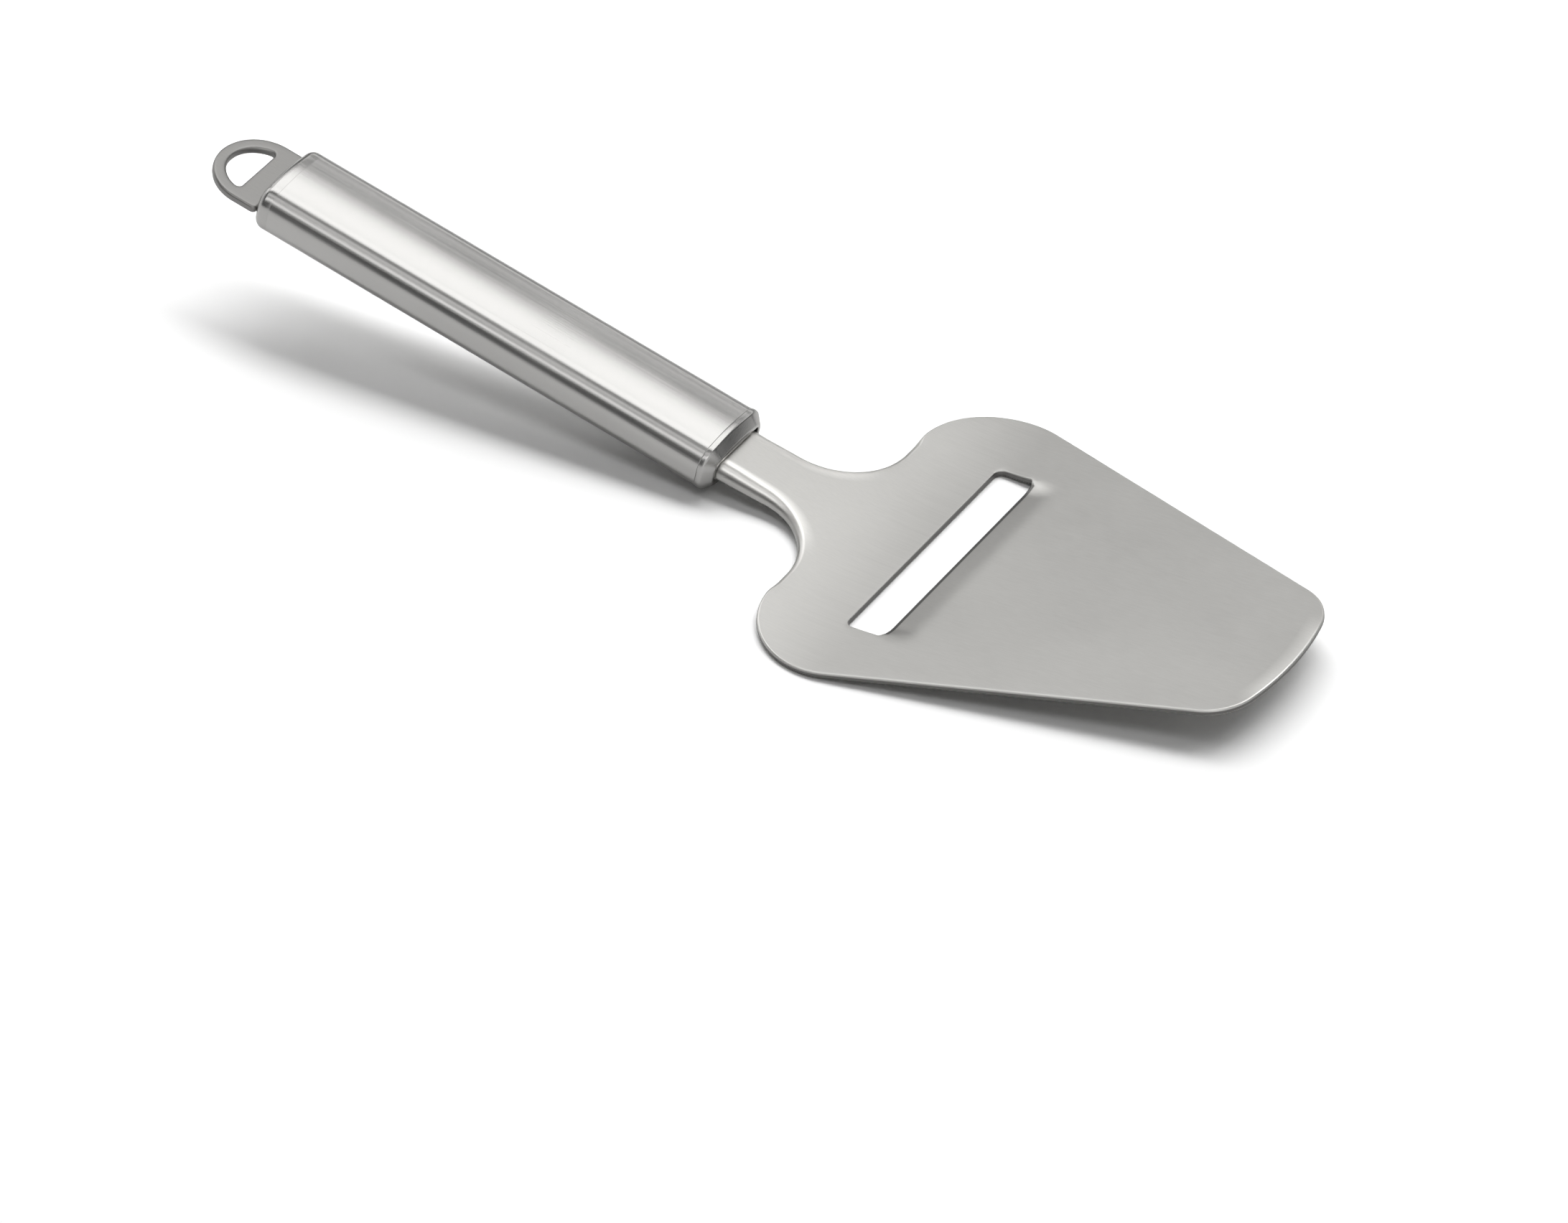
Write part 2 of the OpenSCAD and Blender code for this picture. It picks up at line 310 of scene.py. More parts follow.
def fill(bm, outer, holes, place, pitch):
    """A triangulated face with even points, between an outline and its holes.

    outer and holes are lists of (flat point, mesh vertex)."""
    loops = [outer, *holes]
    flat = [Vector(p) for loop in loops for p, _ in loop]
    verts = [v for loop in loops for _, v in loop]
    edges, start = [], 0
    for loop in loops:
        count = len(loop)
        edges += [(start + i, start + (i + 1) % count) for i in range(count)]
        start += count
    rim = KDTree(len(flat))
    for i, p in enumerate(flat):
        rim.insert((p.x, p.y, 0), i)
    rim.balance()
    outline = [p for p, _ in outer]
    cuts = [[p for p, _ in hole] for hole in holes]

    def in_face(p):
        return inside(p, outline) and not any(inside(p, cut) for cut in cuts)

    xs, ys = [p[0] for p in outline], [p[1] for p in outline]
    row_h = pitch * sqrt(3) / 2
    half_rows = int(max(max(ys), -min(ys)) / row_h) + 1
    columns = int((max(xs) - min(xs)) / pitch) + 1
    for j in range(-half_rows, half_rows + 1):
        for i in range(columns + 1):
            p = (min(xs) + (i + 0.5 * (j % 2)) * pitch, j * row_h)
            # none nearer to the rim than this, or thin triangles would show there
            if rim.find((p[0], p[1], 0))[2] > 0.6 * pitch and in_face(p):
                flat.append(Vector(p))
                verts.append(bm.verts.new(place(p[0], p[1])))
    coords, _, faces, origin, _, _ = delaunay_2d_cdt(flat, edges, [], 0, 1e-7)
    for face in faces:
        middle = sum((coords[i] for i in face), Vector((0, 0))) / len(face)
        if in_face(tuple(middle)):
            corners = [verts[origin[i][0]] for i in face]
            if len(set(corners)) > 2:
                bm.faces.new(corners)


def sheet_mesh(name, outer, holes, place, pitch, painted_edge_shading):
    """A solid sheet, from lists of (x, y, edge profile) for its outline and its holes.

    place gives the space point for x, y and the depth under the top face. The last argument gives
    ring k of the edge, at x, y on the outline, way 1, or on a hole, way -1, its painted light:
    from -1, a painted highlight, to 1, painted shade."""
    bm = bmesh.new()
    # each vertex carries its edge ring's painted highlight or painted shade
    layer = bm.verts.layers.float.new("painted_edge_shading")
    tops, lows = [], []
    for loop, way in [(outer, 1), *((hole, -1) for hole in holes)]:
        normals = inward([(x, y) for x, y, _ in loop])
        rings, flats = [], []
        for k in range(len(loop[0][2])):
            flat = [
                (x + way * n.x * edge[k][0], y + way * n.y * edge[k][0])
                for (x, y, edge), n in zip(loop, normals)
            ]
            flats.append(flat)
            rings.append(
                [bm.verts.new(place(*p, edge[k][1])) for p, (_, _, edge) in zip(flat, loop)]
            )
        for k, ring in enumerate(rings):
            for v, (x, y, _) in zip(ring, loop):
                v[layer] = painted_edge_shading(x, y, way, k)
        skin(bm, rings)
        tops.append(list(zip(flats[0], rings[0])))
        lows.append(list(zip(flats[-1], rings[-1])))
    depth = outer[0][2][-1][1]
    fill(bm, tops[0], tops[1:], lambda x, y: place(x, y, 0), pitch)
    fill(bm, lows[0], lows[1:], lambda x, y: place(x, y, depth), pitch)
    return finished(name, bm)


def finished(name, bm):
    """An object from a closed mesh, shaded smooth with its broad faces kept flat."""
    bmesh.ops.recalc_face_normals(bm, faces=bm.faces)
    for face in bm.faces:
        face.smooth = True
    mesh = bpy.data.meshes.new(name)
    bm.to_mesh(mesh)
    bm.free()
    obj = bpy.data.objects.new(name, mesh)
    bpy.context.scene.collection.objects.link(obj)
    keep = obj.modifiers.new("flat_faces", "WEIGHTED_NORMAL")
    keep.mode = "FACE_AREA"
    keep.weight = 60
    return obj


def settle(obj, material, slot, *nodes):
    """Gives a piece its material and its body, and hides the CAD nodes it stands for; slot is not
    used.
    """
    obj.data.materials.append(material)
    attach(obj, "root")
    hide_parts(*nodes)
    return obj


# Frames


def sizes():
    """Both groups of sizes."""
    return bpy.context.scene.slicer_blade, bpy.context.scene.slicer_handle


def handle_frame():
    """Where the handle's front face is: X back along the handle, Y left, Z its up."""
    b, h = sizes()
    cap_half = h.height / 2 + h.crown + h.step
    rise = h.front_rim + (cap_half - h.front_rim) * cos(h.tilt) - h.front_rim * sin(h.tilt)
    back = Vector((-cos(h.tilt), 0, sin(h.tilt)))
    up = Vector((sin(h.tilt), 0, cos(h.tilt)))
    face_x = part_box("slicing_blade")[1][0] - b.reach
    # the handle's Y is turned over so that the frame stays right-handed
    axes = Matrix((back, (0, -1, 0), up)).transposed().to_4x4()
    return Matrix.Translation((face_x, 0, rise)) @ axes


# steps in the section's dome and in each of its long edges
DOME_STEPS = 28
EDGE_STEPS = 18


def section(g):
    """The handle's section grown outward by g, as (y, z): rounded sides, domed top and bottom."""
    h = sizes()[1]
    half_w, half_h, r = h.width / 2 + g, h.height / 2 + g, h.round_r + g
    flat = half_w - r
    dome_r = (flat * flat + h.crown * h.crown) / (2 * h.crown)
    spread = atan2(flat, dome_r - h.crown)
    centre = (0, half_h + h.crown - dome_r)
    dome = arc(centre, dome_r, pi / 2 - spread, pi / 2 + spread, DOME_STEPS)
    near = arc((-flat, half_h - r), r, pi / 2, pi, EDGE_STEPS)[1:]
    far = arc((flat, half_h - r), r, 0, pi / 2, EDGE_STEPS)[:-1]
    top = far + dome + near
    side = [(-half_w, z * (half_h - r)) for z in (0.5, 0, -0.5)]
    low = [(-y, -z) for y, z in top]
    return top + side + low + [(-y, -z) for y, z in side]


# Materials


def add(tree, kind, sockets=None, **settings):
    """Adds a node with its settings. sockets gives an input a value, or links an output to it."""
    node = tree.nodes.new(kind)
    for key, value in settings.items():
        setattr(node, key, value)
    for key, value in (sockets or {}).items():
        if isinstance(value, bpy.types.NodeSocket):
            tree.links.new(value, node.inputs[key])
        else:
            node.inputs[key].default_value = value
    return node


# most of a noise texture's values lie between these two
NOISE_LOW, NOISE_HIGH = 0.3, 0.7
# what the steel's colour is multiplied by for a painted highlight on rounded and turned edges, and
# for painted shade on cut walls and ground facets; a plain face is halfway between them
PAINTED_HIGHLIGHT, PAINTED_SHADE = 1.55, 0.3
# the depth of a steel's scratches, and how far its roughness varies to each side
SCRATCH_DEPTH, ROUGHNESS_SPREAD = 0.02 * MM, 0.04


def steel(name, tint, roughness, anisotropy, grain, blotch):
    """Steel with a lengthwise grain: grain is the length and width of its scratches.

    Fine scratches vary the colour, roughness and height; blotch is the size of the broad,
    faint changes that hands and washing leave."""
    material = bpy.data.materials.new(name)
    material.use_nodes = True
    tree = material.node_tree
    tree.nodes.clear()
    place = add(tree, "ShaderNodeTexCoord").outputs["Object"]
    stretched = add(
        tree, "ShaderNodeMapping",
        {"Vector": place, "Scale": (1 / grain[0], 1 / grain[1], 1 / grain[1])},
    )
    scratch = add(
        tree, "ShaderNodeTexNoise",
        {"Vector": stretched.outputs[0], "Scale": 1, "Detail": 3, "Roughness": 0.6},
    )
    patches = add(
        tree, "ShaderNodeTexNoise",
        {"Vector": place, "Scale": 1 / blotch, "Detail": 2, "Roughness": 0.5},
    )
    both = add(
        tree, "ShaderNodeMix",
        {"Factor": 0.4, "A": scratch.outputs[0], "B": patches.outputs[0]},
    )
    shade = add(
        tree, "ShaderNodeMapRange",
        {
            "Value": both.outputs[0], "From Min": NOISE_LOW, "From Max": NOISE_HIGH,
            "To Min": 0.94, "To Max": 1.04,
        },
    )
    # painted shade darkens cut walls and the lip's ground facets, and a painted highlight lightens
    # rounded and turned edges, both through the sheet's per-vertex edge value
    painted_edge_shading = add(tree, "ShaderNodeAttribute", attribute_name="painted_edge_shading")
    painted_edge_factor = add(
        tree, "ShaderNodeMapRange",
        {
            "Value": painted_edge_shading.outputs["Fac"], "From Min": -1, "From Max": 1,
            "To Min": PAINTED_HIGHLIGHT, "To Max": PAINTED_SHADE,
        },
    )
    shade = add(
        tree, "ShaderNodeMath", operation="MULTIPLY",
        sockets={0: shade.outputs[0], 1: painted_edge_factor.outputs[0]},
    )
    coloured = add(
        tree, "ShaderNodeMix", data_type="RGBA", blend_type="MULTIPLY",
        sockets={"Factor": 1, 6: (*tint, 1), 7: shade.outputs[0]},
    )
    rough = add(
        tree, "ShaderNodeMapRange",
        {
            "Value": both.outputs[0], "From Min": NOISE_LOW, "From Max": NOISE_HIGH,
            "To Min": roughness - ROUGHNESS_SPREAD, "To Max": roughness + ROUGHNESS_SPREAD,
        },
    )
    bump = add(
        tree, "ShaderNodeBump",
        {"Height": scratch.outputs[0], "Strength": 0.35, "Distance": SCRATCH_DEPTH},
    )
    around = add(tree, "ShaderNodeTangent", direction_type="RADIAL", axis="X")
    shader = add(
        tree, "ShaderNodeBsdfPrincipled",
        {
            "Base Color": coloured.outputs[2], "Metallic": 1, "Roughness": rough.outputs[0],
            "Anisotropic": anisotropy, "Normal": bump.outputs[0], "Tangent": around.outputs[0],
        },
    )
    add(tree, "ShaderNodeOutputMaterial", {"Surface": shader.outputs[0]})
    return material


def moulded_plastic(name, tint):
    """Injection moulded polypropylene: dark, with the soft sheen of a fine spark-eroded mould."""
    material = bpy.data.materials.new(name)
    material.use_nodes = True
    tree = material.node_tree
    tree.nodes.clear()
    place = add(tree, "ShaderNodeTexCoord").outputs["Object"]
    # the texture that the mould leaves
    grain, depth = 0.4 * MM, 0.02 * MM
    grains = add(tree, "ShaderNodeTexNoise", {"Vector": place, "Scale": 1 / grain, "Detail": 2})
    shade = add(
        tree, "ShaderNodeMapRange",
        {
            "Value": grains.outputs[0], "From Min": NOISE_LOW, "From Max": NOISE_HIGH,
            "To Min": 0.85, "To Max": 1.1,
        },
    )
    coloured = add(
        tree, "ShaderNodeMix", data_type="RGBA", blend_type="MULTIPLY",
        sockets={"Factor": 1, 6: (*tint, 1), 7: shade.outputs[0]},
    )
    rough = add(
        tree, "ShaderNodeMapRange", {"Value": grains.outputs[0], "To Min": 0.42, "To Max": 0.58}
    )
    bump = add(
        tree, "ShaderNodeBump", {"Height": grains.outputs[0], "Strength": 0.3, "Distance": depth}
    )
    shader = add(
        tree, "ShaderNodeBsdfPrincipled",
        {
            "Base Color": coloured.outputs[2], "Roughness": rough.outputs[0], "IOR": 1.49,
            "Normal": bump.outputs[0],
        },
    )
    add(tree, "ShaderNodeOutputMaterial", {"Surface": shader.outputs[0]})
    return material


# Pieces


class SLICER_OT_blade(bpy.types.Operator):
    """Model the one-piece blade with its neck, turned-down edges, slot and cutting lip"""

    bl_idname = "slicer.blade"
    bl_label = "Blade"
    bl_options = {"REGISTER", "UNDO"}

    def outline(self, b):
        """The blade from above, from the end of the tang round the left side and back."""
        half = b.width / 2
        shoulder = (b.shoulder_x + b.shoulder_r, half - b.shoulder_r)
        tip = (b.reach - b.tip_r, 0)
        out, ahead = Vector((sin(b.taper), cos(b.taper))), Vector((cos(b.taper), -sin(b.taper)))
        line = Vector(shoulder).dot(out) + b.shoulder_r - b.corner_r - Vector(tip).dot(out)
        reach = sqrt((b.tip_r - b.corner_r) ** 2 - line * line)
        corner = Vector(tip) + line * out + reach * ahead
        corner_end = atan2(corner.y, corner.x - tip[0])
        side_end = pi / 2 - b.taper
        hollow = (b.shoulder_x - b.hollow_r, b.neck_w / 2 + b.hollow_r)
        tang, neck, back_r = b.tang_w / 2, b.neck_w / 2, 1.5 * MM
        # inside the cap the tang widens to the neck, from narrow to wide
        narrow, wide = -4 * MM, -2 * MM
        points = run((-b.tang_len, 0), (-b.tang_len, tang - back_r), 3)
        points = [(-b.tang_len, 0), *points]
        points += arc((-b.tang_len + back_r, tang - back_r), back_r, pi, pi / 2, 6)
        points += run(points[-1], (narrow, tang), 14)
        points += [(narrow, tang), ((narrow + wide) / 2, tang + 0.3 * (neck - tang)), (wide, neck)]
        points += run(points[-1], (hollow[0], neck), 12)
        points += arc(hollow, b.hollow_r, -pi / 2, 0, 26)
        points += run((b.shoulder_x, hollow[1]), (b.shoulder_x, shoulder[1]), 10)
        points += arc(shoulder, b.shoulder_r, pi, side_end, 36)
        start, end = Vector(shoulder) + b.shoulder_r * out, corner + b.corner_r * out
        points += run(start, end, 44)
        points += arc(corner, b.corner_r, side_end, corner_end, 14)
        points += arc(tip, b.tip_r, corner_end, 0, 22)[1:]
        return both_sides(points), hollow

    def execute(self, context):
        b, h = sizes()
        grid = handle_frame()
        face_x, axis_z = grid.translation.x, grid.translation.z
        slot_front = b.slot_x + b.slot_gap
        plate_0 = (slot_front, b.lip_drop + b.sheet)
        slope, fall = tan(b.tilt), tan(h.tilt)
        neck_0 = (b.neck_rise * sin(h.tilt), axis_z + b.neck_rise * cos(h.tilt))
        start_z = plate_0[1] - plate_0[0] * slope
        bend_x = (neck_0[1] + neck_0[0] * fall - start_z) / (fall + slope)
        bend_z = start_z + bend_x * slope
        half = b.bend_r * tan((h.tilt + b.tilt) / 2)
        centre = (
            bend_x - half * cos(h.tilt) + b.bend_r * sin(h.tilt),
            bend_z + half * sin(h.tilt) + b.bend_r * cos(h.tilt),
        )
        first, last = bend_x - half * cos(h.tilt), bend_x + half * cos(b.tilt)
        slot_half = b.slot_len / 2
        # the dish rises straight over the knee's share of its length, then curves level. It
        # starts inside the slot, under the ground edge
        dish_start, knee = b.slot_x + 0.7 * b.slot_gap, 0.6

        def face_z(x, y):
            """Height of the top face: neck, long bend, blade, and the dish of the lip."""
            if x < first:
                z = neck_0[1] - (x - neck_0[0]) * fall
            elif x > last:
                z = start_z + x * slope
            else:
                z = centre[1] - sqrt(b.bend_r**2 - (x - centre[0]) ** 2)
            u = min(max((x - slot_front) / b.dish, 0), 1)
            risen = (u - max(u - knee, 0) ** 2 / (2 - 2 * knee)) / (0.5 + 0.5 * knee)
            if x > dish_start and u < 1:
                side = 1 - smooth(slot_half - b.lip_end, slot_half + 0.2 * MM, abs(y))
                z -= b.lip_drop * side * (1 - risen)
            return z

        def place(x, y, depth):
            """The space point at a depth under the top face."""
            near = 0.05 * MM
            along = (face_z(x + near, y) - face_z(x - near, y)) / (2 * near)
            across = (face_z(x, y + near) - face_z(x, y - near)) / (2 * near)
            normal = Vector((-along, -across, 1)).normalized()
            return Vector((x + face_x, y, face_z(x, y))) - depth * normal

        outline, hollow = self.outline(b)
        t, r = b.sheet, b.edge_r
        face_inset = b.flange_r + 0.6 * MM
        # how much of the turned edge's full depth is left, from the cap to the shoulder
        turned_share = [
            (-2 * MM, 1), (hollow[0], 0.8), (hollow[0] + b.hollow_r / 2, 0.6),
            (b.shoulder_x + 1 * MM, 0.48),
        ]

        def edge_at(x, y):
            """The edge profile at a point of the outline: plain on the tang and the blade, and
            turned down along the neck and the hollow between them."""
            if x < -2.5 * MM:
                return plain_edge(t, r, 1.2 * MM)
            if x > b.shoulder_x + 3 * MM:
                return plain_edge(t, r, face_inset)
            depth = b.flange * value_at(turned_share, x)
            bend = min(b.flange_r, depth - r - 0.05 * MM)
            turned = turned_edge(t, 0.7 * r, bend, depth, face_inset)
            # on the shoulder's wide part the turned edge has faded out
            flattened = smooth(slot_half - 3 * MM, slot_half + 0.5 * MM, abs(y))
            return mixed(turned, plain_edge(t, r, face_inset), flattened)

        outer = [(x, y, edge_at(x, y)) for x, y in outline]

        # the slot: sharp punched walls at its back and ends, the ground lip at its front
        r_slot, low, high = b.slot_r, b.slot_x, slot_front - b.lip_reach
        r_lip = 0.35 * MM
        slot = arc((low + r_slot, slot_half - r_slot), r_slot, pi, pi / 2, 8)
        slot += run(slot[-1], (high - r_lip, slot_half), 8)
        slot += arc((high - r_lip, slot_half - r_lip), r_lip, pi / 2, 0, 4)
        slot += run(slot[-1], (high, r_lip - slot_half), 60)
        slot += arc((high - r_lip, r_lip - slot_half), r_lip, 0, -pi / 2, 4)
        slot += run(slot[-1], (low + r_slot, -slot_half), 8)
        slot += arc((low + r_slot, r_slot - slot_half), r_slot, -pi / 2, -pi, 8)
        slot += run(slot[-1], slot[0], 56)
        punched = plain_edge(t, 0.2 * MM, 1 * MM)
        ground = ground_edge(t, b.land, b.bevel, b.bevel + 0.8 * MM)

        def slot_edge(x, y):
            """The edge profile at a point of the slot."""
            share = smooth(high - 0.5 * MM, high - 0.05 * MM, x)
            share *= 1 - smooth(slot_half - 1.2 * MM, slot_half - 0.1 * MM, abs(y))
            return mixed(punched, ground, share)

        hole = [(x, y, slot_edge(x, y)) for x, y in slot]

        def painted_edge_shading(x, y, way, k):
            """Painted shade on the cut walls and the ground lip, and a painted highlight on the
            outline's rounding.
            """
            if way < 0:
                on_lip = x > high - 0.5 * MM and abs(y) < slot_half - 0.8 * MM
                return 1 if k in WALL_RINGS or on_lip and k in FACET_RINGS else 0
            # the outer wall gets painted shade round the blade, but not along the neck
            if k in WALL_RINGS:
                return smooth(slot_half - 4 * MM, slot_half, abs(y) + max(x - 30 * MM, 0))
            # the painted highlight on the rounding is strongest near the middle line, so at the
            # neck and the tip
            highlight_share = 1 - smooth(8 * MM, 15 * MM, abs(y))
            if k in ROUNDING_RINGS:
                return -max(highlight_share, 0.5)
            return -0.6 * highlight_share if k == ROUNDING_RINGS[0] - 1 else 0

        blade = sheet_mesh("blade_sheet", outer, [hole], place, b.pitch, painted_edge_shading)
        # Cold-rolled 18/8 stainless sheet with a fine lengthwise satin: it looks matt grey,
        # with faint long streaks. Real grit lines are 0.05 mm wide; these are 0.3 mm so
        # that the render shows them.
        finish = steel(
            "satin_stainless_sheet", context.scene.slicer_finish.blade,
            roughness=0.36, anisotropy=0, grain=(22 * MM, 0.3 * MM), blotch=30 * MM,
        )
        settle(blade, finish, "blade_steel", "slicing_blade")
        return {"FINISHED"}


def lofted(bm, stations):
    """Rings of the handle's section, from (place along the handle, growth) pairs."""
    return [[bm.verts.new((x, y, z)) for y, z in section(g)] for x, g in stations]


class SLICER_OT_tube(bpy.types.Operator):
    """Model the hollow handle tube with broken edges at both ends"""

    bl_idname = "slicer.tube"
    bl_label = "Handle tube"
    bl_options = {"REGISTER", "UNDO"}

    def execute(self, context):
        h = sizes()[1]
        start, end = h.front_len, h.length - h.rear_len
        broken, tight = 0.14 * MM, 0.02 * MM
        ends = [(0, -1), (0.3, -0.3), (1, 0)]
        outer = [(start + u * broken, g * broken) for u, g in ends]
        outer += [(start + (end - start) * i / 12, 0) for i in range(1, 12)]
        outer += [(end - u * tight, g * tight) for u, g in reversed(ends)]
        bm = bmesh.new()
        skin(bm, lofted(bm, outer + [(end, -h.wall), (start, -h.wall)]), closed=True)
        tube = finished("handle_tube_brushed", bm)
        tube.matrix_world = handle_frame()
        # Drawn stainless tube, belt-brushed along its length: highlights stay sharp along
        # the handle and spread across it. Real lines are 0.08 mm wide and are drawn 0.25 mm.
        finish = steel(
            "lengthwise_brushed_stainless", context.scene.slicer_finish.handle,
            roughness=0.24, anisotropy=0.7, grain=(40 * MM, 0.25 * MM), blotch=25 * MM,
        )
        settle(tube, finish, "handle_steel", "handle_tube")
        return {"FINISHED"}


def window(half_w, low, high, r, grow):
    """A rounded window in a cap's end face, as (y, z), grown outward by grow."""
    w, z0, z1, r = half_w + grow, low - grow, high + grow, r + grow
    points = arc((w - r, z1 - r), r, 0, pi / 2, 4) + arc((r - w, z1 - r), r, pi / 2, pi, 4)
    points += arc((r - w, z0 + r), r, pi, 3 * pi / 2, 4)
    points += arc((w - r, z0 + r), r, 3 * pi / 2, 2 * pi, 4)
    return points


def cap_mesh(name, visible, rim, step, r, opening):
    """A cap: its rim as (place, growth) from the end face, a window and a hidden spigot.

    step is how far it stands proud of the tube and r the broken edge at its seam."""
    h = sizes()[1]
    inner = -h.wall - h.spigot_gap
    depth = visible + h.spigot
    stations = [(x, step + g) for x, g in rim]
    stations += [(visible - r, step), (visible - 0.3 * r, step - 0.3 * r)]
    stations += [(visible, step - r), (visible, inner), (depth, inner)]
    bm = bmesh.new()
    rings = lofted(bm, stations)
    skin(bm, rings)
    face, broken = stations[0][0], 0.25 * MM
    steps = [(face, broken), (face + 0.07 * MM, 0.07 * MM), (face + broken, 0), (depth, 0)]
    holes = [[bm.verts.new((x, *p)) for p in window(*opening, grow)] for x, grow in steps]
    skin(bm, holes)
    for x, ring, hole, g, grow in (
        (face, rings[0], holes[0], stations[0][1], broken),
        (depth, rings[-1], holes[-1], inner, 0),
    ):
        outline = list(zip(section(g), ring))
        cut = list(zip(window(*opening, grow), hole))
        fill(bm, outline, [cut], lambda y, z, x=x: (x, y, z), 1 * MM)
    return finished(name, bm)


class SLICER_OT_caps(bpy.types.Operator):
    """Model the front and rear caps that close the tube"""

    bl_idname = "slicer.caps"
    bl_label = "Handle caps"
    bl_options = {"REGISTER", "UNDO"}

    def execute(self, context):
        b, h = sizes()
        gap = h.window_gap
        # Pressed stainless caps, brushed with the tube: a little darker, because their
        # grain is coarser. Real lines are 0.08 mm wide and are drawn 0.25 mm.
        finish = steel(
            "brushed_stainless_cap", context.scene.slicer_finish.cap,
            roughness=0.24, anisotropy=0.5, grain=(12 * MM, 0.25 * MM), blotch=12 * MM,
        )
        neck = (
            b.neck_w / 2 + gap, b.neck_rise - b.flange - gap, b.neck_rise + gap, 0.9 * MM
        )
        # the front rim: a flat ring at the end, a straight bevel up to a crisp crest
        rim = [
            (0.3, -0.98), (0.32, -0.93), (0.37, -0.86), (1.02, -0.13), (1.1, -0.06), (1.18, -0.02),
            (1.26, 0),
        ]
        rim = [(x * h.front_rim, g * h.front_rim) for x, g in rim]
        front = cap_mesh("front_cap_pressed", h.front_len, rim, h.step, 0.14 * MM, neck)
        front.matrix_world = handle_frame()
        settle(front, finish, "cap_steel", "front_cap")
        tang = (
            h.loop_tang_w / 2 + gap, -h.loop_drop - h.loop_t / 2 - gap,
            -h.loop_drop + h.loop_t / 2 + gap, 0.4 * MM,
        )
        # the rear rim: an even rounding, brushed over the seam so that it doesn't show
        turns = [pi / 2 * i / 10 for i in range(11)]
        rim = [(h.rear_rim * (1 - cos(u)), h.rear_rim * (sin(u) - 1)) for u in turns]
        rear = cap_mesh("rear_cap_pressed", h.rear_len, rim, 0, 0.02 * MM, tang)
        turned = Matrix.Translation((h.length, 0, 0)) @ Matrix.Diagonal((-1, 1, 1, 1))
        rear.data.transform(turned)
        rear.data.flip_normals()
        rear.matrix_world = handle_frame()
        settle(rear, finish, "cap_steel", "rear_cap")
        return {"FINISHED"}


class SLICER_OT_loop(bpy.types.Operator):
    """Model the flat hanging loop with tumbled edges and its tang in the handle"""

    bl_idname = "slicer.loop"
    bl_label = "Hanging loop"
    bl_options = {"REGISTER", "UNDO"}

    def execute(self, context):
        h = sizes()[1]
        seat, middle = h.length + h.seat, h.length + h.loop_len - h.loop_r
        tang, tail, r = h.loop_tang_w / 2, h.length - h.loop_tang_len, 0.5 * MM
        corner, fillet = 1 * MM, 0.6 * MM
        half = [(tail, 0), *run((tail, 0), (tail, tang - corner), 3)]
        half += arc((tail + corner, tang - corner), corner, pi, pi / 2, 4)
        half += run(half[-1], (seat - fillet, tang), 14)
        half += arc((seat - fillet, tang + fillet), fillet, -pi / 2, 0, 4)
        half += run(half[-1], (seat, h.loop_r - corner), 3)
        half += arc((seat + corner, h.loop_r - corner), corner, pi, pi / 2, 6)
        half += run(half[-1], (middle, h.loop_r), 4)
        half += arc((middle, 0), h.loop_r, pi / 2, 0, 40)
        outline = both_sides(half)
        # the hole: a circle cut straight beside the handle, its two corners rounded
        hole_r, cut, round_r = h.loop_r - h.loop_band, middle + h.bar_shift, 0.8 * MM
        stretch = (h.loop_r - h.loop_end_band) / hole_r
        at = Vector((h.bar_shift + round_r, 0))
        at.y = sqrt((hole_r - round_r) ** 2 - at.x * at.x)
        turn = atan2(at.y, at.x)
        hole = [(cut, 0), *run((cut, 0), (cut, at.y), 5)]
        hole += arc((middle + at.x, at.y), round_r, pi, turn, 6)
        hole += arc((middle, 0), hole_r, turn, 0, 30)[1:]
        hole = both_sides([(cut + (x - cut) * stretch, y) for x, y in hole])
        inset = 0.9 * MM
        edge, fine = plain_edge(h.loop_t, r, inset), plain_edge(h.loop_t, 0.3 * MM, inset)

        def place(x, y, depth):
            """The space point at a depth under the loop's top face, in the handle's frame."""
            return Vector((x, y, h.loop_t / 2 - h.loop_drop - depth))

        def painted_edge_shading(x, y, way, k):
            """Painted shade: faint on the tumbled outer wall, stronger on the wall of the hole."""
            if k not in WALL_RINGS:
                return 0
            return 0.15 if way > 0 else 0.6

        outer = [(x, y, edge if x > h.length else fine) for x, y in outline]
        hole = [(x, y, edge) for x, y in hole]
        pitch = 1.1 * MM
        loop = sheet_mesh("hanging_loop_stamped", outer, [hole], place, pitch, painted_edge_shading)
        loop.matrix_world = handle_frame()
        # Stamped stainless, tumbled after stamping: duller and greyer than the handle, with
        # no clear grain.
        finish = steel(
            "tumbled_stainless_stamping", context.scene.slicer_finish.loop,
            roughness=0.38, anisotropy=0, grain=(2 * MM, 0.4 * MM), blotch=8 * MM,
        )
        settle(loop, finish, "loop_steel", "hanging_loop")
        return {"FINISHED"}


class SLICER_OT_plugs(bpy.types.Operator):
    """Finish the two plastic plugs that grip the tangs inside the handle"""

    bl_idname = "slicer.plugs"
    bl_label = "Tang plugs"
    bl_options = {"REGISTER", "UNDO"}

    def execute(self, context):
        finish = moulded_plastic("moulded_black_plastic", context.scene.slicer_finish.plug)
        for node in ("front_tang_plug", "rear_tang_plug"):
            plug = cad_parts[node]
            plug.data.materials.clear()
            plug.data.materials.append(finish)
        return {"FINISHED"}


# Stage


